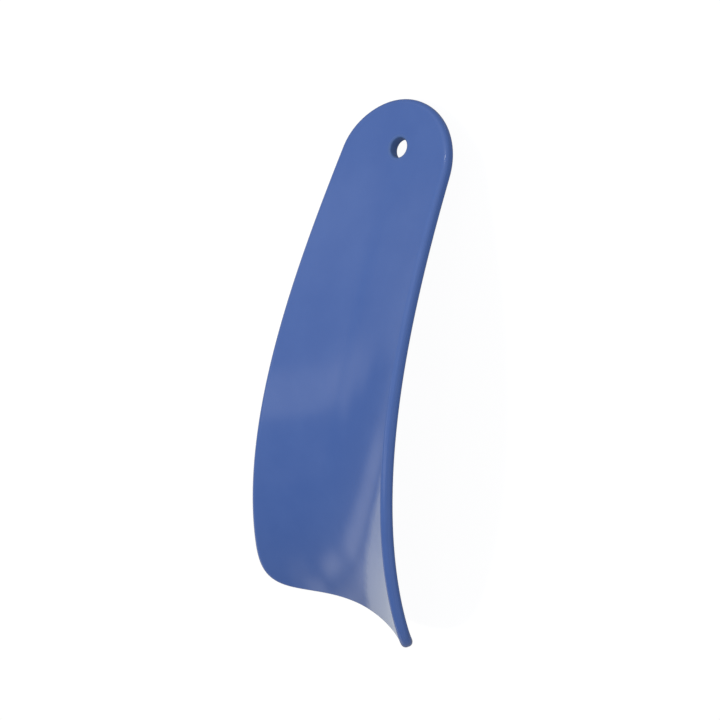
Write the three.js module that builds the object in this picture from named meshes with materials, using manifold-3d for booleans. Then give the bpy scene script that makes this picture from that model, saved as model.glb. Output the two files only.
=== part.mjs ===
// A hand shoehorn moulded in one piece of blue plastic: a slightly dished grip with a hole to
// hang it by, which widens and deepens into a scoop. Units are millimetres, +Z is up.
//
// The blade lies on its back, the dished side up, resting on its two ends. +X runs from the
// scoop to the grip and Y runs across. The origin is under the middle of the bounding box.

import * as THREE from 'three';
import { mergeVertices } from 'three/addons/utils/BufferGeometryUtils.js';
import Module from 'manifold-3d';

// Driving dimensions. Lengths and widths are measured round the curve of the wall.
const CENTRELINE_LENGTH = 136; // end of the grip to the tip of the scoop
const WALL = 3;
const RIM_RADIUS = 1.25; // rounding of both edges of the rim

const GRIP_HALF_WIDTH = 16.6; // where the rounded end of the grip meets the sides
const GRIP_END_LENGTH = 15.1; // of the rounded end, a half ellipse
const SCOOP_HALF_WIDTH = 29.1; // at the tip, if its corners were square
const SCOOP_END_LENGTH = 19.2; // of the rounded corners
const SCOOP_END_POWER = 3.5; // of the superellipse that rounds them: 2 is an ellipse
const STRAIGHT_FLARE = 0.69; // share of the widening that is straight, the rest is quadratic

const CENTRELINE_TURN = THREE.MathUtils.degToRad(56); // all of the lengthwise bend
const REST_TILT = THREE.MathUtils.degToRad(18.34); // of the grip, so that both ends touch down
const TIP_SECTION_RADIUS = 40; // of the cross-section's arc at the tip

const HOLE_RADIUS = 2.4;
const HOLE_FROM_END = 11.8; // end of the grip to the hole's centre
const HOLE_LIP_RADIUS = 0.4; // rounding of the hole's two edges
const LAND_RADIUS = 5.5; // flat land round the hole, on the back only
const LAND_DEPTH = 0.12;

// How finely the surface is divided.
const ROWS = 46;
const COLUMNS = 18;
const RIM_STEPS = 4; // facets in each rounded edge of the rim
const HOLE_SIDES = 48;
const LIP_STEPS = 3;
const CENTRELINE_STEPS = 200;
const GRIP_CORNER = 13; // along the outline from the grip's end to the grid's first corners
const SCOOP_CORNER = 26; // along the outline from the scoop's tip to its last corners
const SMALL_STEP = 0.01; // for slopes taken by differences

// The centreline is a clothoid: straight at the grip's end, and bending ever more to the tip.
function centrelineSlope(s) {
  return REST_TILT - CENTRELINE_TURN * (s / CENTRELINE_LENGTH) ** 2;
}

function centrelinePoint(s) {
  const step = s / CENTRELINE_STEPS;
  let x = 0;
  let z = 0;
  for (let i = 0; i < CENTRELINE_STEPS; i += 1) {
    const slope = centrelineSlope((i + 0.5) * step);
    x -= Math.cos(slope) * step;
    z += Math.sin(slope) * step;
  }
  return { x, z };
}

// Each cross-section is a circular arc, nearly flat at the grip and deepest at the tip.
function sectionCurvature(s) {
  return Math.sqrt(Math.max(s, 0) / CENTRELINE_LENGTH) / TIP_SECTION_RADIUS;
}

// The point of the wall's middle surface that is s along the centreline and v across.
function middlePoint(s, v) {
  const { x, z } = centrelinePoint(s);
  const slope = centrelineSlope(s);
  const curvature = Math.max(sectionCurvature(s), 1e-6);
  const across = Math.sin(curvature * v) / curvature;
  const rise = (1 - Math.cos(curvature * v)) / curvature;
  return new THREE.Vector3(x + rise * Math.sin(slope), across, z + rise * Math.cos(slope));
}

// The wall's normal there, towards the dished side.
function wallNormal(s, v) {
  const along = middlePoint(s + SMALL_STEP, v).sub(middlePoint(s - SMALL_STEP, v));
  const across = middlePoint(s, v + SMALL_STEP).sub(middlePoint(s, v - SMALL_STEP));
  return across.cross(along).normalize();
}

function wallPoint(s, v, height) {
  return middlePoint(s, v).addScaledVector(wallNormal(s, v), height);
}

// Half the width at s, before the ends are rounded off.
function sideWidth(s) {
  const flareLength = CENTRELINE_LENGTH - GRIP_END_LENGTH;
  const t = (s - GRIP_END_LENGTH) / flareLength;
  const flare = STRAIGHT_FLARE * t + (1 - STRAIGHT_FLARE) * t * t;
  return GRIP_HALF_WIDTH + (SCOOP_HALF_WIDTH - GRIP_HALF_WIDTH) * flare;
}

// One half of the outline laid flat, from the grip's end to the scoop's tip, as (s, v).
class HalfOutline extends THREE.Curve {
  getPoint(t) {
    if (t < 1 / 3) {
      return this.gripEnd(3 * t);
    }
    if (t < 2 / 3) {
      return this.side(3 * t - 1);
    }
    return this.scoopEnd(3 * t - 2);
  }

  gripEnd(t) {
    const angle = (t * Math.PI) / 2;
    const s = GRIP_END_LENGTH * (1 - Math.cos(angle));
    return new THREE.Vector2(s, sideWidth(s) * Math.sin(angle));
  }

  side(t) {
    const s = THREE.MathUtils.lerp(GRIP_END_LENGTH, CENTRELINE_LENGTH - SCOOP_END_LENGTH, t);
    return new THREE.Vector2(s, sideWidth(s));
  }

  scoopEnd(t) {
    const angle = (t * Math.PI) / 2;
    const power = SCOOP_END_POWER;
    const radius = (Math.cos(angle) ** power + Math.sin(angle) ** power) ** (-1 / power);
    const s = CENTRELINE_LENGTH - SCOOP_END_LENGTH * (1 - radius * Math.sin(angle));
    return new THREE.Vector2(s, sideWidth(s) * radius * Math.cos(angle));
  }
}

const halfOutline = new HalfOutline();
halfOutline.arcLengthDivisions = 3000;
const halfLength = halfOutline.getLength();

// A place on the outline, `distance` round it from the grip's end on the given side (+1 or -1),
// as its point and its outward direction in the flat (s, v) plane.
function outlinePlace(distance, side) {
  const t = THREE.MathUtils.clamp(distance / halfLength, 0, 1);
  const point = halfOutline.getPointAt(t);
  const tangent = halfOutline.getTangentAt(t);
  return {
    point: new THREE.Vector2(point.x, side * point.y),
    outward: new THREE.Vector2(-tangent.y, side * tangent.x),
  };
}

// The outline's places in order: across the grip's end, down the +v side, back across the
// scoop's tip, and up the -v side.
function outlinePlaces() {
  const places = [];
  for (let j = 0; j < COLUMNS; j += 1) {
    const distance = THREE.MathUtils.lerp(-GRIP_CORNER, GRIP_CORNER, j / COLUMNS);
    places.push(outlinePlace(Math.abs(distance), Math.sign(distance)));
  }
  const sideEnd = halfLength - SCOOP_CORNER;
  for (let i = 0; i < ROWS; i += 1) {
    places.push(outlinePlace(THREE.MathUtils.lerp(GRIP_CORNER, sideEnd, i / ROWS), 1));
  }
  for (let j = COLUMNS; j > 0; j -= 1) {
    const distance = THREE.MathUtils.lerp(-SCOOP_CORNER, SCOOP_CORNER, j / COLUMNS);
    places.push(outlinePlace(halfLength - Math.abs(distance), Math.sign(distance)));
  }
  for (let i = ROWS; i > 0; i -= 1) {
    places.push(outlinePlace(THREE.MathUtils.lerp(GRIP_CORNER, sideEnd, i / ROWS), -1));
  }
  return places;
}

// The rim's profile from the dished face round to the back: each step is how far it lies in
// from the outline and how high above the wall's middle.
function rimProfile() {
  const profile = [];
  const straight = WALL / 2 - RIM_RADIUS;
  for (const half of [1, -1]) {
    for (let i = 0; i <= RIM_STEPS; i += 1) {
      const step = half > 0 ? i : RIM_STEPS - i;
      const angle = ((step / RIM_STEPS) * Math.PI) / 2;
      profile.push({
        inset: RIM_RADIUS * (1 - Math.sin(angle)),
        height: half * (straight + RIM_RADIUS * Math.cos(angle)),
      });
    }
  }
  return profile;
}

function insetPoint(place, inset) {
  return place.point.clone().addScaledVector(place.outward, -inset);
}

// The flat (s, v) grid of a face, blended from its four edges (a Coons patch).
function faceGrid(places) {
  const edge = places.map((place) => insetPoint(place, RIM_RADIUS));
  const last = edge.length;
  const top = (j) => edge[j];
  const right = (i) => edge[COLUMNS + i];
  const bottom = (j) => edge[2 * COLUMNS + ROWS - j];
  const left = (i) => edge[(last - i) % last];
  const corners = [top(0), top(COLUMNS), bottom(0), bottom(COLUMNS)];
  const grid = [];
  for (let i = 0; i <= ROWS; i += 1) {
    const a = i / ROWS;
    const row = [];
    for (let j = 0; j <= COLUMNS; j += 1) {
      const b = j / COLUMNS;
      const point = new THREE.Vector2();
      point.addScaledVector(top(j), 1 - a).addScaledVector(bottom(j), a);
      point.addScaledVector(left(i), 1 - b).addScaledVector(right(i), b);
      point.addScaledVector(corners[0], -(1 - a) * (1 - b)).addScaledVector(corners[1], -(1 - a) * b);
      point.addScaledVector(corners[2], -a * (1 - b)).addScaledVector(corners[3], -a * b);
      row.push(point);
    }
    grid.push(row);
  }
  return grid;
}

// Triangles of a grid of points given as rows of vectors.
function pushGrid(positions, rows, flip) {
  for (let i = 0; i + 1 < rows.length; i += 1) {
    for (let j = 0; j + 1 < rows[i].length; j += 1) {
      const [a, b] = [rows[i][j], rows[i][j + 1]];
      const [c, d] = [rows[i + 1][j + 1], rows[i + 1][j]];
      const corners = flip ? [a, c, b, a, d, c] : [a, b, c, a, c, d];
      for (const corner of corners) {
        positions.push(corner.x, corner.y, corner.z);
      }
    }
  }
}

// The blade without its hole: two faces and the rim between them, as one closed surface.
function bladeBlank() {
  const places = outlinePlaces();
  const grid = faceGrid(places);
  const face = (height) => grid.map((row) => row.map((p) => wallPoint(p.x, p.y, height)));
  const rim = rimProfile().map(({ inset, height }) => {
    const ring = places.map((place) => {
      const p = insetPoint(place, inset);
      return wallPoint(p.x, p.y, height);
    });
    return [...ring, ring[0]];
  });
  const positions = [];
  pushGrid(positions, face(WALL / 2), false);
  pushGrid(positions, face(-WALL / 2), true);
  pushGrid(positions, rim, true);
  const geometry = new THREE.BufferGeometry();
  geometry.setAttribute('position', new THREE.Float32BufferAttribute(positions, 3));
  return geometry;
}

// The solid that the hole takes away: a bore with rounded lips, and the shallow land behind.
function holeCutter() {
  const back = -(WALL / 2 - LAND_DEPTH);
  const reach = 2 * WALL;
  const profile = [
    new THREE.Vector2(0, -reach),
    new THREE.Vector2(LAND_RADIUS, -reach),
    new THREE.Vector2(LAND_RADIUS, back),
  ];
  for (const [edge, inward] of [[back, 1], [WALL / 2, -1]]) {
    for (let i = 0; i <= LIP_STEPS; i += 1) {
      const step = inward > 0 ? i : LIP_STEPS - i;
      const angle = ((step / LIP_STEPS) * Math.PI) / 2;
      const radius = HOLE_RADIUS + HOLE_LIP_RADIUS * (1 - Math.sin(angle));
      const height = edge + inward * HOLE_LIP_RADIUS * (1 - Math.cos(angle));
      profile.push(new THREE.Vector2(radius, height));
    }
  }
  profile.push(new THREE.Vector2(HOLE_RADIUS + HOLE_LIP_RADIUS, reach), new THREE.Vector2(0, reach));
  const cutter = new THREE.LatheGeometry(profile, HOLE_SIDES);
  const axis = wallNormal(HOLE_FROM_END, 0);
  cutter.applyQuaternion(new THREE.Quaternion().setFromUnitVectors(new THREE.Vector3(0, 1, 0), axis));
  const centre = middlePoint(HOLE_FROM_END, 0);
  return cutter.translate(centre.x, centre.y, centre.z);
}

const wasm = await Module();
wasm.setup();

function solidFrom(geometry) {
  geometry.deleteAttribute('normal');
  geometry.deleteAttribute('uv');
  const merged = mergeVertices(geometry, 1e-4);
  return new wasm.Manifold(
    new wasm.Mesh({
      numProp: 3,
      vertProperties: new Float32Array(merged.attributes.position.array),
      triVerts: new Uint32Array(merged.index.array),
    }),
  );
}

function geometryFrom(solid) {
  const mesh = solid.getMesh();
  const geometry = new THREE.BufferGeometry();
  geometry.setAttribute('position', new THREE.BufferAttribute(mesh.vertProperties, 3));
  geometry.setIndex(new THREE.BufferAttribute(mesh.triVerts, 1));
  return geometry;
}

// Puts the origin under the middle of the bounding box.
function standOnOrigin(geometry) {
  geometry.computeBoundingBox();
  const { min, max } = geometry.boundingBox;
  return geometry.translate(-(min.x + max.x) / 2, -(min.y + max.y) / 2, -min.z);
}

const bluePlastic = new THREE.MeshStandardMaterial({
  color: new THREE.Color().setRGB(0.31, 0.42, 0.67, THREE.SRGBColorSpace),
  roughness: 0.28,
  metalness: 0,
});

const bladeSolid = solidFrom(bladeBlank()).subtract(solidFrom(holeCutter()));
const blade = new THREE.Mesh(standOnOrigin(geometryFrom(bladeSolid)), bluePlastic);
blade.name = 'blade';

const shoehorn = new THREE.Group();
shoehorn.add(blade);

export default shoehorn;
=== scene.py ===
"""A one-piece moulded shoehorn lying on its back on a white, slightly glossy floor.

The blade is one fine quad mesh over the same formulas as the CAD solid, which it stands for.
Lengths are in metres in the row frame: +X from the scoop to the grip, +Y across, +Z up.
"""

import math

import bmesh
import bpy
import numpy as np
from mathutils import Matrix, Vector


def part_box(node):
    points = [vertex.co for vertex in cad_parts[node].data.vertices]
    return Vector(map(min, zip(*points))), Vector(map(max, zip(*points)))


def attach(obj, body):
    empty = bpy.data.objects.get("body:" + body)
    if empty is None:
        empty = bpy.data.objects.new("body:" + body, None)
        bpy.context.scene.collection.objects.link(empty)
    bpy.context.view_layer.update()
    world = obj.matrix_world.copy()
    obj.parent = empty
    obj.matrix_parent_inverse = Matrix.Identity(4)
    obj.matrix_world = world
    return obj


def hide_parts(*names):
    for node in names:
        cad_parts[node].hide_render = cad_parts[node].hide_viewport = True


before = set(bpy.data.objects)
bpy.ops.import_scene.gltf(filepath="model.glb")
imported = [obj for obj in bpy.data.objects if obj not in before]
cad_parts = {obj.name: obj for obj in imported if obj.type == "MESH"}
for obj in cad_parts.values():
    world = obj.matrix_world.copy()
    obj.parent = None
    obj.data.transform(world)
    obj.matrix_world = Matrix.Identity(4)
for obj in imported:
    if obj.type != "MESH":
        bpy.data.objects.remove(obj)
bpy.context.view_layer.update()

MM = 0.001

# The blade's driving dimensions, as in the CAD solid. They are measured round the wall's curve.
CENTRELINE_LENGTH = 136 * MM
WALL = 3 * MM
RIM_RADIUS = 1.25 * MM
GRIP_HALF_WIDTH = 16.6 * MM
GRIP_END_LENGTH = 15.1 * MM
SCOOP_HALF_WIDTH = 29.1 * MM
SCOOP_END_LENGTH = 19.2 * MM
SCOOP_END_POWER = 3.5
STRAIGHT_FLARE = 0.69
CENTRELINE_TURN = math.radians(56)
REST_TILT = math.radians(18.34)
TIP_SECTION_RADIUS = 40 * MM
HOLE_RADIUS = 2.4 * MM
HOLE_FROM_END = 11.8 * MM
HOLE_LIP_RADIUS = 0.4 * MM
LIP_START_RADIUS = HOLE_RADIUS + HOLE_LIP_RADIUS
LAND_RADIUS = 5.5 * MM
LAND_DEPTH = 0.12 * MM

# The formulas' tables: how many places they hold, and how far the centreline's goes past both
# ends, as a share of its length. The steps are what directions are measured over, and
# LEAST_CURVATURE, per metre, stands for none where the grip's end is straight across.
CENTRELINE_PLACES = 8001
CENTRELINE_OVERRUN = 0.05
OUTLINE_PLACES = 2001
NORMAL_STEP = 0.01 * MM
OUTLINE_STEP = 0.02 * MM
LEAST_CURVATURE = 1e-6

# Each face is a grid of quads. Its corners lie GRIP_CORNER and SCOOP_CORNER round the outline from
# the middle of the grip's end and of the tip, and its edge lies EDGE_RING inside the rim's start.
ROWS = 132
COLUMNS = 44
GRIP_CORNER = 13 * MM
SCOOP_CORNER = 26 * MM
EDGE_RING = 0.25 * MM
RIM_STEPS = 7

# Rings round the hole replace the grid for HOLE_PATCH from its centre, along and across. The
# land's edge is a step between two rings, LAND_EDGE outside and inside its radius, and the last
# ring of the land is LIP_MARGIN wide.
HOLE_PATCH = 8 * MM
OUTER_RINGS = 5
LAND_RINGS = 8
LAND_EDGE = 0.05 * MM
LIP_MARGIN = 0.1 * MM
LIP_STEPS = 5
BORE_STEPS = 4

# The material reads marks on the vertices. FAR, in millimetres, marks one that is nowhere near
# what the mark is measured from. The bore's shade reaches HOLE_SHADE out from its lip.
FAR = 99.0
HOLE_SHADE = 1.0 * MM

# The scoop's -v corner is rubbed dull by heels, and its pale sheen is a painted reflection: it
# stands in for the light reflected along that side. The patch starts at the side at the start s
# below, this far from the middle, and widens inwards towards the tip.
RUBBED_AND_PAINTED_SHEEN_START = 82 * MM
RUBBED_AND_PAINTED_SHEEN_HALF_WIDTH = 22.4 * MM
RUBBED_AND_PAINTED_SHEEN_SLOPE = 0.375


# ---------------------------------------------------------------------------- the blade's shape

def centreline_slope(s):
    """The clothoid's slope at s along it from the end of the grip."""
    return REST_TILT - CENTRELINE_TURN * (s / CENTRELINE_LENGTH) ** 2


def make_centreline():
    """The centreline as tables of s, x and z, closely enough spaced to read between."""
    share = np.linspace(-CENTRELINE_OVERRUN, 1 + CENTRELINE_OVERRUN, CENTRELINE_PLACES)
    s = share * CENTRELINE_LENGTH
    middle = centreline_slope((s[1:] + s[:-1]) / 2)
    step = np.diff(s)
    x = np.concatenate([[0], np.cumsum(-np.cos(middle) * step)])
    z = np.concatenate([[0], np.cumsum(np.sin(middle) * step)])
    return s, x - np.interp(0, s, x), z - np.interp(0, s, z)


CENTRELINE = make_centreline()


def middle_point(s, v):
    """Points of the wall's middle surface, s along the centreline and v across, as rows."""
    table_s, table_x, table_z = CENTRELINE
    x = np.interp(s, table_s, table_x)
    z = np.interp(s, table_s, table_z)
    slope = centreline_slope(s)
    depth = np.sqrt(np.maximum(s, 0) / CENTRELINE_LENGTH)
    curvature = np.maximum(depth / TIP_SECTION_RADIUS, LEAST_CURVATURE)
    across = np.sin(curvature * v) / curvature
    rise = (1 - np.cos(curvature * v)) / curvature
    return np.stack([x + rise * np.sin(slope), across, z + rise * np.cos(slope)], axis=-1)


def wall_normal(s, v):
    """The wall's unit normal towards the dished side."""
    along = middle_point(s + NORMAL_STEP, v) - middle_point(s - NORMAL_STEP, v)
    across = middle_point(s, v + NORMAL_STEP) - middle_point(s, v - NORMAL_STEP)
    normal = np.cross(across, along)
    return normal / np.linalg.norm(normal, axis=-1, keepdims=True)


def wall_point(s, v, height):
    """Points at a height over the wall's middle surface."""
    return middle_point(s, v) + wall_normal(s, v) * height


def side_width(s):
    """Half the width at s, before the ends are rounded off."""
    t = (s - GRIP_END_LENGTH) / (CENTRELINE_LENGTH - GRIP_END_LENGTH)
    flare = STRAIGHT_FLARE * t + (1 - STRAIGHT_FLARE) * t * t
    return GRIP_HALF_WIDTH + (SCOOP_HALF_WIDTH - GRIP_HALF_WIDTH) * flare


def half_outline():
    """One half of the flat outline, from the grip's end to the scoop's tip: s, v, distance."""
    angle = np.linspace(0, math.pi / 2, OUTLINE_PLACES)
    grip_s = GRIP_END_LENGTH * (1 - np.cos(angle))
    grip_v = side_width(grip_s) * np.sin(angle)
    side_s = np.linspace(GRIP_END_LENGTH, CENTRELINE_LENGTH - SCOOP_END_LENGTH, OUTLINE_PLACES)
    power = SCOOP_END_POWER
    radius = (np.cos(angle) ** power + np.sin(angle) ** power) ** (-1 / power)
    scoop_s = CENTRELINE_LENGTH - SCOOP_END_LENGTH * (1 - radius * np.sin(angle))
    scoop_v = side_width(scoop_s) * radius * np.cos(angle)
    s = np.concatenate([grip_s, side_s[1:], scoop_s[1:]])
    v = np.concatenate([grip_v, side_width(side_s[1:]), scoop_v[1:]])
    distance = np.concatenate([[0], np.cumsum(np.hypot(np.diff(s), np.diff(v)))])
    return s, v, distance


def outline_places():
    """Points (s, v) on the outline and its outward directions: across the grip's end, down the
    +v side, back across the tip and up the -v side."""
    s, v, distance = half_outline()
    whole = distance[-1]
    top = np.linspace(-GRIP_CORNER, GRIP_CORNER, COLUMNS, endpoint=False)
    side = np.linspace(GRIP_CORNER, whole - SCOOP_CORNER, ROWS, endpoint=False)
    tip = np.linspace(SCOOP_CORNER, -SCOOP_CORNER, COLUMNS, endpoint=False)
    back = np.linspace(whole - SCOOP_CORNER, GRIP_CORNER, ROWS, endpoint=False)
    at = np.concatenate([np.abs(top), side, whole - np.abs(tip), back])
    sign = np.concatenate([np.sign(top), np.ones(ROWS), np.sign(tip), -np.ones(ROWS)])
    point = np.stack([np.interp(at, distance, s), sign * np.interp(at, distance, v)], axis=-1)
    low = np.maximum(at - OUTLINE_STEP, 0)
    high = np.minimum(at + OUTLINE_STEP, whole)
    run = np.interp(high, distance, s) - np.interp(low, distance, s)
    climb = np.interp(high, distance, v) - np.interp(low, distance, v)
    outward = np.stack([-climb, sign * run], axis=-1)
    outward[at < OUTLINE_STEP] = (-1, 0)
    outward[at > whole - OUTLINE_STEP] = (1, 0)
    return point, outward / np.linalg.norm(outward, axis=-1, keepdims=True)


def face_grid(edge):
    """A face's (s, v) grid, blended from its four edges as a Coons patch."""
    top = edge[: COLUMNS + 1]
    right = edge[COLUMNS: COLUMNS + ROWS + 1]
    bottom = edge[COLUMNS + ROWS: 2 * COLUMNS + ROWS + 1][::-1]
    left = np.concatenate([edge[2 * COLUMNS + ROWS:], edge[:1]])[::-1]
    a = np.linspace(0, 1, ROWS + 1)[:, None, None]
    b = np.linspace(0, 1, COLUMNS + 1)[None, :, None]
    between_ends = (1 - a) * top[None] + a * bottom[None]
    between_sides = (1 - b) * left[:, None] + b * right[:, None]
    corners = ((1 - a) * ((1 - b) * top[0] + b * top[-1])
               + a * ((1 - b) * bottom[0] + b * bottom[-1]))
    return between_ends + between_sides - corners


def block_edge(table, rows, columns):
    """The entries of a table round the edge of a block of its rows and columns, in order."""
    top = table[rows[0], columns[0]: columns[1]]
    right = table[rows[0]: rows[1], columns[1]]
    bottom = table[rows[1], columns[1]: columns[0]: -1]
    left = table[rows[1]: rows[0]: -1, columns[0]]
    return np.concatenate([top, right, bottom, left])


def hole_block(grid):
    """The rows and columns of the grid's block that the hole's rings take the place of."""
    along = grid[:, COLUMNS // 2, 0] - HOLE_FROM_END
    rows = [int(np.argmin(np.abs(along - d))) for d in (-HOLE_PATCH, HOLE_PATCH)]
    across = grid[(rows[0] + rows[1]) // 2, :, 1]
    columns = [int(np.argmin(np.abs(across - d))) for d in (-HOLE_PATCH, HOLE_PATCH)]
    return rows, columns


def hole_axis():
    """The hole's centre, on the wall's middle surface, and the direction of its axis."""
    return middle_point(HOLE_FROM_END, 0.0), wall_normal(HOLE_FROM_END, 0.0)


def hole_points(angle, radius, height):
    """Points at a radius from the hole's axis and a height along it from the hole's centre."""
    centre, axis = hole_axis()
    across = np.array((0.0, 1.0, 0.0))
    along = np.cross(axis, across)
    radial = along * np.cos(angle)[:, None] + across * np.sin(angle)[:, None]
    return centre + radial * radius + axis * np.reshape(height, (-1, 1))


def rubbed_and_painted_sheen_depth(grid):
    """How far across each (s, v) point lies past the line that bounds the rubbed corner with its
    painted reflection.
    """
    line = RUBBED_AND_PAINTED_SHEEN_HALF_WIDTH - RUBBED_AND_PAINTED_SHEEN_SLOPE * (grid[..., 0] - RUBBED_AND_PAINTED_SHEEN_START)
    return (-grid[..., 1] - line) / MM


# ---------------------------------------------------------------------------- the blade's mesh

class Surface:
    """Vertices and quads gathered piece by piece, each vertex with what the material reads."""

    def __init__(self):
        self.vertices = []
        self.faces = []
        self.marks = {"rubbed": [], "rim_height": [], "in_hole": []}

    def add(self, points, rubbed=-FAR, rim_height=FAR, in_hole=0.0):
        """Adds points and returns their indices, in the same arrangement."""
        flat = points.reshape(-1, 3)
        start = len(self.vertices)
        self.vertices.extend(map(tuple, flat))
        values = {"rubbed": rubbed, "rim_height": rim_height, "in_hole": in_hole}
        for name, value in values.items():
            self.marks[name].extend(np.broadcast_to(np.ravel(value), len(flat)).tolist())
        return np.arange(start, start + len(flat)).reshape(points.shape[:-1])

    def strip(self, first, second):
        """Quads between two rings of as many indices, closed on themselves."""
        for a, b, c, d in zip(first, np.roll(first, -1), np.roll(second, -1), second):
            self.faces.append((a, b, c, d))

    def mesh(self, name):
        """The gathered surface as a mesh, with its marks as vertex attributes."""
        mesh = bpy.data.meshes.new(name)
        mesh.from_pydata(self.vertices, [], self.faces)
        for mark, values in self.marks.items():
            mesh.attributes.new(mark, "FLOAT", "POINT").data.foreach_set("value", values)
        return mesh


def add_grid(surface, grid, side):
    """One face's grid of quads, open at the block of the hole. Returns its indices."""
    rows, columns = hole_block(grid)
    points = wall_point(grid[..., 0], grid[..., 1], side * WALL / 2)
    # Only the front face carries the mark of the rubbed corner and of its painted reflection.
    indices = surface.add(points, rubbed=rubbed_and_painted_sheen_depth(grid) if side > 0 else -FAR)
    for i in range(ROWS):
        for j in range(COLUMNS):
            if rows[0] <= i < rows[1] and columns[0] <= j < columns[1]:
                continue
            surface.faces.append(
                (indices[i, j], indices[i, j + 1], indices[i + 1, j + 1], indices[i + 1, j]))
    return indices


def add_inner_ring(surface, ring, angle, radius, side, on_land=False):
    """The next ring in from a ring of the face, at a radius from the hole's centre."""
    if on_land:
        points = hole_points(angle, radius, LAND_DEPTH - WALL / 2)
    else:
        s = HOLE_FROM_END + radius * np.cos(angle)
        v = radius * np.sin(angle)
        points = wall_point(s, v, side * WALL / 2)
    # The in_hole mark rises towards the lip, so that the bore's painted shade spreads onto the
    # face.
    hole_painted_shade = np.clip(1 - (radius - LIP_START_RADIUS) / HOLE_SHADE, 0, 1) / 2
    inner = surface.add(points, in_hole=hole_painted_shade)
    surface.strip(ring, inner)
    return inner


def add_face(surface, grid, side):
    """One face of the wall, in to where the hole's lip starts. Returns the ring of indices round
    its outer edge, the ring where the lip starts, and the second ring's angles."""
    indices = add_grid(surface, grid, side)
    rows, columns = hole_block(grid)
    ring = block_edge(indices, rows, columns)
    place = block_edge(grid, rows, columns) - (HOLE_FROM_END, 0)
    angle = np.arctan2(place[:, 1], place[:, 0])
    reach = np.hypot(place[:, 0], place[:, 1])

    outer = LAND_RADIUS + LAND_EDGE
    for share in np.arange(OUTER_RINGS)[::-1] / OUTER_RINGS:
        ring = add_inner_ring(surface, ring, angle, outer + (reach - outer) * share, side)
    narrowing = np.linspace(LAND_RADIUS - LAND_EDGE, LIP_START_RADIUS + LIP_MARGIN, LAND_RINGS)
    for radius in [*narrowing, LIP_START_RADIUS]:
        ring = add_inner_ring(surface, ring, angle, radius, side, on_land=side < 0)
    return block_edge(indices, (0, ROWS), (0, COLUMNS)), ring, angle


def add_lip(surface, ring, angle, side):
    """The hole's rounded lip on one face. Returns the ring where the bore starts, and the
    heights of its points along the hole's axis."""
    centre, axis = hole_axis()
    level = (np.array([surface.vertices[i] for i in ring]) - centre) @ axis
    for turn in np.arange(1, LIP_STEPS + 1) / LIP_STEPS * math.pi / 2:
        radius = HOLE_RADIUS + HOLE_LIP_RADIUS * (1 - math.sin(turn))
        height = level - side * HOLE_LIP_RADIUS * (1 - math.cos(turn))
        points = hole_points(angle, radius, height)
        inner = surface.add(points, in_hole=(1 + math.sin(turn)) / 2)
        surface.strip(ring, inner)
        ring = inner
    return ring, height


def add_bore(surface, angle, front_lip, back_lip):
    """The hole's wall between its two lips, each given as a ring and its points' heights."""
    ring, front_height = front_lip
    back_ring, back_height = back_lip
    for share in np.arange(1, BORE_STEPS) / BORE_STEPS:
        height = front_height * (1 - share) + back_height * share
        inner = surface.add(hole_points(angle, HOLE_RADIUS, height), in_hole=1.0)
        surface.strip(ring, inner)
        ring = inner
    surface.strip(ring, back_ring)


def add_rim(surface, place, outward, front_edge, back_edge):
    """The rim round the whole outline, from the edge of the front face to that of the back."""
    straight = WALL / 2 - RIM_RADIUS
    quarter_turn = np.linspace(0, math.pi / 2, RIM_STEPS + 1)
    ring = front_edge
    for side, turns in ((1, quarter_turn), (-1, quarter_turn[::-1])):
        for turn in turns:
            flat = place - outward * RIM_RADIUS * (1 - math.sin(turn))
            height = side * (straight + RIM_RADIUS * math.cos(turn))
            points = wall_point(flat[:, 0], flat[:, 1], height)
            outer = surface.add(points, rim_height=height / MM)
            surface.strip(ring, outer)
            ring = outer
    surface.strip(ring, back_edge)


def make_blade():
    """The whole blade as one closed object, fitted to the CAD solid's box."""
    place, outward = outline_places()
    grid = face_grid(place - outward * (RIM_RADIUS + EDGE_RING))
    surface = Surface()
    front_edge, front_ring, angle = add_face(surface, grid, 1)
    back_edge, back_ring, angle = add_face(surface, grid, -1)
    front_lip = add_lip(surface, front_ring, angle, 1)
    back_lip = add_lip(surface, back_ring, angle, -1)
    add_bore(surface, angle, front_lip, back_lip)
    add_rim(surface, place, outward, front_edge, back_edge)
    mesh = surface.mesh("shoehorn_body")
    blade = bpy.data.objects.new("shoehorn_body", mesh)
    bpy.context.scene.collection.objects.link(blade)
    tidy_normals(mesh)
    fit_to_cad(mesh)
    return blade


def tidy_normals(mesh):
    """Turns every face outwards, makes sure that the surface is closed and shades it smoothly."""
    work = bmesh.new()
    work.from_mesh(mesh)
    bmesh.ops.recalc_face_normals(work, faces=work.faces)
    open_edges = [e for e in work.edges if not e.is_manifold]
    if open_edges:
        raise ValueError(f"the blade is open at {len(open_edges)} edges")
    work.to_mesh(mesh)
    work.free()
    mesh.shade_smooth()


def fit_to_cad(mesh):
    """Fits the mesh to the CAD solid's box. The formulas start at the end of the grip, and the
    solid's facets cut a few micrometres inside them."""
    low, high = (np.array(corner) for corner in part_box("blade"))
    points = np.array([v.co for v in mesh.vertices])
    here_low, here_high = points.min(0), points.max(0)
    scale = (high - low) / (here_high - here_low)
    stretch = Matrix.Diagonal((*scale, 1))
    mesh.transform(Matrix.Translation(low - here_low * scale) @ stretch)


# ---------------------------------------------------------------------------- materials

# Noise scales are per metre, and a range holds the two values that a ramp runs between.

# The plastic's blue wanders between two shades, by long flow marks and a small mottle.
PLASTIC_BLUE = (0.070, 0.150, 0.447, 1)
PLASTIC_BLUE_DEEP = (0.062, 0.139, 0.431, 1)
FLOW_SCALES = (12, 70, 70)
FLOW_DETAIL = 3.0
FLOW_SHARE = 0.6
MOTTLE_SCALE = 160.0
SHADE_RANGE = (0.35, 0.65)

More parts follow.
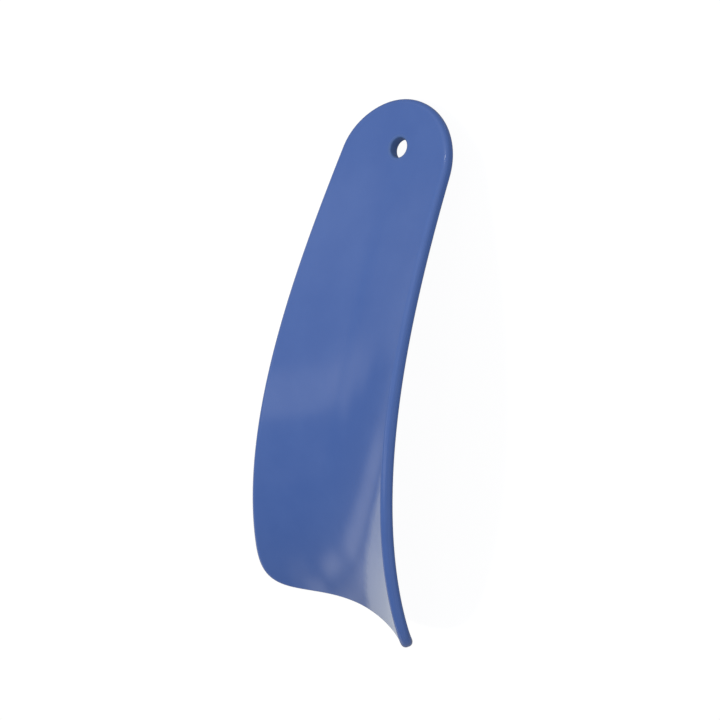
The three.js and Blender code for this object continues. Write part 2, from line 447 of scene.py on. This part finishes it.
# The bore's darker blue, painted shade for the inside of the hole, and the values of the in_hole
# mark between which it takes over.
HOLE_PAINTED_SHADE_BLUE = (0.068, 0.142, 0.358, 1)
HOLE_PAINTED_SHADE_RANGE = (0.1, 1.0)

# The skin's gloss, from its smoothest to its dullest smudge, and what each mark adds to it.
PLASTIC_IOR = 1.47
GLOSS_ROUGHNESS = (0.15, 0.19)
SMUDGE_SCALE = 45.0
SMUDGE_DETAIL = 4.0
SMUDGE_RANGE = (0.35, 0.75)
SCRATCH_ROUGHNESS = 0.06
PARTING_ROUGHNESS = 0.12
HOLE_ROUGHNESS = 0.35
RUBBED_ROUGHNESS = 0.15

# The skin's relief: its full height, and how much of that the grain and each mark take.
RELIEF_HEIGHT = 0.01 * MM
RELIEF_STRENGTH = 0.5
GRAIN_SCALE = 900.0
GRAIN_RELIEF = 0.2
SCRATCH_RELIEF = -0.12
PARTING_RELIEF = 2.0

# The parting line fades out between these distances, in millimetres, from the rim's middle.
PARTING_RANGE = (0.09, 0.03)

# Hairline scratches: the angle and the noise scale across each set, and where its noise starts
# to show. Then the scale along them, the width of that start, and the patches that hold them.
SCRATCH_SETS = ((0.10, 1500.0, 0.70), (-0.22, 1100.0, 0.72))
SCRATCH_LENGTH_SCALE = 35
SCRATCH_SOFTNESS = 0.08
SCRATCH_PATCH_SCALE = 60.0
SCRATCH_PATCH_RANGE = (0.45, 0.65)

# The rubbed corner's pale sheen, a painted reflection that stands in for the light reflected along
# that side, and its soft border: the noise that makes it ragged, by up to this many millimetres,
# and the depths in millimetres between which the rubbing and the painted reflection grow.
PAINTED_SHEEN = 0.95
PAINTED_SHEEN_ROUGHNESS = 0.5
PAINTED_SHEEN_TINT = (0.88, 0.93, 1.0, 1)
RUBBED_AND_PAINTED_SHEEN_NOISE_SCALE = 150.0
RUBBED_AND_PAINTED_SHEEN_NOISE_REACH = 2.0
RUBBED_AND_PAINTED_SHEEN_RANGE = (0.0, 4.0)


def named_socket(sockets, identifier):
    """The one of a node's sockets that has this identifier."""
    return next(socket for socket in sockets if socket.identifier == identifier)


class Nodes:
    """A short way to write the node tree of a material or a world."""

    def __init__(self, owner):
        owner.use_nodes = True
        self.tree = owner.node_tree
        self.tree.nodes.clear()

    def add(self, kind, **settings):
        """Adds a shader node of this kind with these settings."""
        node = self.tree.nodes.new("ShaderNode" + kind)
        for name, value in settings.items():
            setattr(node, name, value)
        return node

    def feed(self, socket, value):
        """Links an output to the socket, or sets the socket to a plain value."""
        if isinstance(value, bpy.types.NodeSocket):
            self.tree.links.new(value, socket)
        else:
            socket.default_value = value

    def math(self, operation, first, second=0.0, third=0.0):
        """The result of a Math node."""
        node = self.add("Math", operation=operation)
        for socket, value in zip(node.inputs, (first, second, third)):
            self.feed(socket, value)
        return node.outputs["Value"]

    def noise(self, vector, scale, detail=2.0):
        """Smooth noise from 0 to 1, mostly near 0.5."""
        node = self.add("TexNoise")
        self.feed(node.inputs["Vector"], vector)
        self.feed(node.inputs["Scale"], scale)
        self.feed(node.inputs["Detail"], detail)
        return node.outputs["Fac"]

    def stretched(self, vector, scales, turn=0.0):
        """Coordinates turned about Z and scaled unequally, for a grain that runs one way."""
        node = self.add("Mapping")
        self.feed(node.inputs["Vector"], vector)
        self.feed(node.inputs["Rotation"], (0, 0, turn))
        self.feed(node.inputs["Scale"], scales)
        return node.outputs["Vector"]

    def ramp(self, value, start, end, low=0.0, high=1.0):
        """Maps start..end smoothly to low..high, and holds the ends."""
        node = self.add("MapRange", interpolation_type="SMOOTHSTEP")
        for name, number in (("Value", value), ("From Min", start), ("From Max", end),
                             ("To Min", low), ("To Max", high)):
            self.feed(node.inputs[name], number)
        return node.outputs["Result"]

    def mix_color(self, factor, first, second):
        """The first colour where the factor is 0, and the second where it is 1."""
        node = self.add("Mix", data_type="RGBA")
        self.feed(named_socket(node.inputs, "Factor_Float"), factor)
        self.feed(named_socket(node.inputs, "A_Color"), first)
        self.feed(named_socket(node.inputs, "B_Color"), second)
        return named_socket(node.outputs, "Result_Color")

    def mark(self, name):
        """One of the surface's own marks."""
        return self.add("Attribute", attribute_name=name).outputs["Fac"]


def make_plastic():
    """Blue moulded plastic: a gloss skin with a faint grain, flow marks and fine scratches,
    a parting line round the rim, a duller bore darkened by painted shade and a corner that is
    rubbed dull, with a sheen there that paints a pale reflection."""
    material = bpy.data.materials.new("blue_moulded_plastic")
    nodes = Nodes(material)
    place = nodes.add("TexCoord").outputs["Object"]
    in_hole = nodes.mark("in_hole")
    rubbed = make_rubbed_and_painted_sheen_corner(nodes, place)
    parting = nodes.ramp(nodes.math("ABSOLUTE", nodes.mark("rim_height")), *PARTING_RANGE)
    scratches = make_scratches(nodes, place)
    dull_marks = (
        (scratches, SCRATCH_ROUGHNESS),
        (parting, PARTING_ROUGHNESS),
        (in_hole, HOLE_ROUGHNESS),
        (rubbed, RUBBED_ROUGHNESS),
    )
    raised_marks = ((scratches, SCRATCH_RELIEF), (parting, PARTING_RELIEF))

    shader = nodes.add("BsdfPrincipled")
    nodes.feed(shader.inputs["Base Color"], make_blue(nodes, place, in_hole))
    nodes.feed(shader.inputs["Roughness"], make_roughness(nodes, place, dull_marks))
    nodes.feed(shader.inputs["Normal"], make_relief(nodes, place, raised_marks))
    nodes.feed(shader.inputs["IOR"], PLASTIC_IOR)
    # The sheen on the rubbed corner is a painted reflection.
    nodes.feed(shader.inputs["Sheen Weight"], nodes.math("MULTIPLY", rubbed, PAINTED_SHEEN))
    nodes.feed(shader.inputs["Sheen Roughness"], PAINTED_SHEEN_ROUGHNESS)
    nodes.feed(shader.inputs["Sheen Tint"], PAINTED_SHEEN_TINT)
    nodes.feed(nodes.add("OutputMaterial").inputs["Surface"], shader.outputs["BSDF"])
    return material


def make_blue(nodes, place, in_hole):
    """The plastic's colour, with its flow marks and mottle and the bore's darker blue of painted
    shade.
    """
    flow = nodes.noise(nodes.stretched(place, FLOW_SCALES), 1.0, detail=FLOW_DETAIL)
    mottle = nodes.math("MULTIPLY", nodes.noise(place, MOTTLE_SCALE), 1 - FLOW_SHARE)
    blend = nodes.math("MULTIPLY_ADD", flow, FLOW_SHARE, mottle)
    blue = nodes.mix_color(nodes.ramp(blend, *SHADE_RANGE), PLASTIC_BLUE_DEEP, PLASTIC_BLUE)
    # The bore's darker blue is painted shade, fading out round its lip.
    return nodes.mix_color(nodes.ramp(in_hole, *HOLE_PAINTED_SHADE_RANGE), blue, HOLE_PAINTED_SHADE_BLUE)


def make_roughness(nodes, place, dull_marks):
    """The skin's uneven gloss, with what each mark adds to its roughness."""
    smudges = nodes.noise(place, SMUDGE_SCALE, detail=SMUDGE_DETAIL)
    roughness = nodes.ramp(smudges, *SMUDGE_RANGE, *GLOSS_ROUGHNESS)
    for mark, added in dull_marks:
        roughness = nodes.math("MULTIPLY_ADD", mark, added, roughness)
    return roughness


def make_relief(nodes, place, raised_marks):
    """The fine grain, with what each mark adds to its height, as a bumped normal."""
    relief = nodes.math("MULTIPLY", nodes.noise(place, GRAIN_SCALE, detail=1.0), GRAIN_RELIEF)
    for mark, added in raised_marks:
        relief = nodes.math("MULTIPLY_ADD", mark, added, relief)
    bump = nodes.add("Bump")
    nodes.feed(bump.inputs["Height"], relief)
    nodes.feed(bump.inputs["Distance"], RELIEF_HEIGHT)
    nodes.feed(bump.inputs["Strength"], RELIEF_STRENGTH)
    return bump.outputs["Normal"]


def make_scratches(nodes, place):
    """Hairline scratches, mostly lengthwise as a heel slides, as a 0..1 mask."""
    mask = 0.0
    for angle, across, threshold in SCRATCH_SETS:
        run = nodes.stretched(place, (SCRATCH_LENGTH_SCALE, across, across), turn=angle)
        noise = nodes.noise(run, 1.0, detail=1.0)
        lines = nodes.ramp(noise, threshold, threshold + SCRATCH_SOFTNESS)
        mask = nodes.math("MAXIMUM", mask, lines)
    patches = nodes.ramp(nodes.noise(place, SCRATCH_PATCH_SCALE), *SCRATCH_PATCH_RANGE)
    return nodes.math("MULTIPLY", mask, patches)


def make_rubbed_and_painted_sheen_corner(nodes, place):
    """Where the scoop's corner is rubbed dull and its sheen paints a pale reflection, as a 0..1
    mask with a ragged border.
    """
    noise = nodes.noise(place, RUBBED_AND_PAINTED_SHEEN_NOISE_SCALE)
    depth = nodes.math("MULTIPLY_ADD", noise, RUBBED_AND_PAINTED_SHEEN_NOISE_REACH, nodes.mark("rubbed"))
    return nodes.ramp(depth, *RUBBED_AND_PAINTED_SHEEN_RANGE)


# ---------------------------------------------------------------------------- the studio

# The camera's place: azimuth 0 looks along +Y.
CAMERA_AZIMUTH = math.radians(25.67)
CAMERA_ELEVATION = math.radians(44.97)
CAMERA_ROLL = math.radians(-102.96)
CAMERA_DISTANCE = 449.6 * MM
CAMERA_AIM = Vector((0.54, 5.92, 5.46)) * MM
CAMERA_LENS = 91.1
SENSOR_WIDTH = 36

WHITE = (1, 1, 1, 1)

# The floor, just under what lies on it: its radiance to the camera, what it sheds on the blade,
# and its gloss.
FLOOR_HALF_SIZE = 6.0
FLOOR_GAP = 0.1 * MM
FLOOR_WHITE = 0.965
FLOOR_GLOW = 0.25
FLOOR_BASE = (0.03, 0.03, 0.03, 1)
FLOOR_ROUGHNESS = 0.12
FLOOR_IOR = 1.6

# The grey room's radiance, and what it gains towards the grip's end and the camera's side.
AMBIENT = 0.34
GRIP_SIDE_FILL = 1.45
NEAR_SIDE_FILL = 0.37

# Lights overhead, square to the row's axes: x and y ranges in metres, radiance.
OVERHEAD_HEIGHT = 1.0
OVERHEAD_LIGHTS = (
    ("strip_light", (-0.42, -0.20), (-0.60, 0.85), 1.14),
    ("main_light", (-0.20, 0.40), (-0.60, 0.85), 0.46),
    ("rear_light", (-0.90, -0.42), (-0.60, 0.85), 0.15),
    ("small_lamp", (0.95, 1.05), (-0.17, -0.10), 80.0),
)

# Soft windows in the room behind the blade: azimuth and elevation ranges in degrees, radiance.
# Each fades over WINDOW_FADE degrees round its edges.
WINDOW_FADE = 6.0
WINDOWS = {
    "high_bend": ((98, 114), (38, 45), 1.05),
    "high_bend_top": ((98, 114), (45, 52), 0.36),
    "high_bend_foot": ((98, 106), (31, 38), 0.75),
    "upper_window": ((74, 98), (31, 45), 0.42),
    "middle_window": ((82, 98), (14, 31), 0.44),
    "low_window_1": ((78, 102), (1, 14), 0.52),
    "low_window_2": ((102, 109), (1, 14), 0.27),
    "low_window_3": ((109, 123), (3, 14), 0.62),
    "low_window_4": ((123, 137), (4, 14), 0.82),
    "low_window_5": ((137, 145), (5, 14), 0.40),
    "low_window_6": ((145, 155), (7, 15), 1.0),
    "low_window_7": ((158, 168), (1, 10), 0.60),
    "low_window_8": ((164, 176), (8, 22), 0.25),
}


def make_floor_material():
    """White acrylic: plain white to look at, with a faint mirror image of what lies on it."""
    material = bpy.data.materials.new("white_acrylic_floor")
    nodes = Nodes(material)
    seen = nodes.add("LightPath").outputs["Is Camera Ray"]
    glow = nodes.math("MULTIPLY_ADD", seen, FLOOR_WHITE - FLOOR_GLOW, FLOOR_GLOW)
    shader = nodes.add("BsdfPrincipled")
    nodes.feed(shader.inputs["Base Color"], FLOOR_BASE)
    nodes.feed(shader.inputs["Roughness"], FLOOR_ROUGHNESS)
    nodes.feed(shader.inputs["IOR"], FLOOR_IOR)
    nodes.feed(shader.inputs["Emission Color"], WHITE)
    nodes.feed(shader.inputs["Emission Strength"], glow)
    nodes.feed(nodes.add("OutputMaterial").inputs["Surface"], shader.outputs["BSDF"])
    return material


def make_floor():
    """The floor, one large square that only the pictures need."""
    reach = FLOOR_HALF_SIZE
    mesh = bpy.data.meshes.new("floor")
    corners = [(-reach, -reach, 0), (reach, -reach, 0), (reach, reach, 0), (-reach, reach, 0)]
    mesh.from_pydata(corners, [], [(0, 1, 2, 3)])
    floor = bpy.data.objects.new("floor", mesh)
    bpy.context.scene.collection.objects.link(floor)
    mesh.materials.append(make_floor_material())
    floor.location.z = -FLOOR_GAP


def make_lights():
    """Rectangular area lights that face down, which the camera does not see."""
    for name, x_range, y_range, radiance in OVERHEAD_LIGHTS:
        width = x_range[1] - x_range[0]
        length = y_range[1] - y_range[0]
        light = bpy.data.lights.new(name, "AREA")
        light.shape = "RECTANGLE"
        light.size = width
        light.size_y = length
        light.energy = radiance * math.pi * width * length
        box = bpy.data.objects.new(name, light)
        bpy.context.scene.collection.objects.link(box)
        box.location = (sum(x_range) / 2, sum(y_range) / 2, OVERHEAD_HEIGHT)
        box.visible_camera = False


def add_window(nodes, azimuth, elevation, window):
    """A window's radiance: even inside its ranges of direction, fading round its edges."""
    azimuths, elevations, radiance = window
    for angle, (low, high) in ((azimuth, azimuths), (elevation, elevations)):
        fade_in = nodes.ramp(angle, low - WINDOW_FADE / 2, low + WINDOW_FADE / 2)
        fade_out = nodes.ramp(angle, high + WINDOW_FADE / 2, high - WINDOW_FADE / 2)
        radiance = nodes.math("MULTIPLY", radiance, nodes.math("MULTIPLY", fade_in, fade_out))
    return radiance


def make_world():
    """A grey room, lighter towards the grip's end and towards the camera's side, with soft
    bright windows behind the blade."""
    world = bpy.data.worlds.new("studio")
    bpy.context.scene.world = world
    nodes = Nodes(world)
    direction = nodes.add("SeparateXYZ")
    nodes.feed(direction.inputs["Vector"], nodes.add("TexCoord").outputs["Generated"])
    x, y, z = direction.outputs
    grip_side = nodes.math("MULTIPLY", nodes.math("MAXIMUM", x, 0.0), z)
    grip_side = nodes.math("MAXIMUM", grip_side, 0.0)
    near_side = nodes.math("MAXIMUM", nodes.math("MULTIPLY", y, -1.0), 0.0)
    radiance = nodes.math("MULTIPLY_ADD", grip_side, GRIP_SIDE_FILL, AMBIENT)
    radiance = nodes.math("MULTIPLY_ADD", near_side, NEAR_SIDE_FILL, radiance)
    azimuth = nodes.math("DEGREES", nodes.math("ARCTAN2", y, x))
    elevation = nodes.math("DEGREES", nodes.math("ARCSINE", z))
    for window in WINDOWS.values():
        radiance = nodes.math("ADD", radiance, add_window(nodes, azimuth, elevation, window))
    background = nodes.add("Background")
    nodes.feed(background.inputs["Strength"], radiance)
    nodes.feed(background.inputs["Color"], WHITE)
    nodes.feed(nodes.add("OutputWorld").inputs["Surface"], background.outputs["Background"])


def make_camera():
    """The camera, at the photograph's viewing angle."""
    camera = bpy.data.objects.new("camera", bpy.data.cameras.new("camera"))
    bpy.context.scene.collection.objects.link(camera)
    camera.data.lens = CAMERA_LENS
    camera.data.sensor_width = SENSOR_WIDTH
    back = Vector((math.sin(CAMERA_AZIMUTH) * math.cos(CAMERA_ELEVATION),
                   -math.cos(CAMERA_AZIMUTH) * math.cos(CAMERA_ELEVATION),
                   math.sin(CAMERA_ELEVATION)))
    level = Vector((math.cos(CAMERA_AZIMUTH), math.sin(CAMERA_AZIMUTH), 0))
    upright = back.cross(level)
    right = level * math.cos(CAMERA_ROLL) + upright * math.sin(CAMERA_ROLL)
    up = back.cross(right)
    turn = Matrix((right, up, back)).transposed().to_4x4()
    camera.matrix_world = Matrix.Translation(CAMERA_AIM + back * CAMERA_DISTANCE) @ turn
    bpy.context.scene.camera = camera


# ---------------------------------------------------------------------------- the scene

# The colours and the lights are chosen for this plain display transform.
bpy.context.scene.view_settings.view_transform = "Standard"
make_camera()
make_world()
make_lights()
make_floor()

blade = make_blade()
blade.data.materials.append(make_plastic())
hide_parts("blade")
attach(blade, "root")
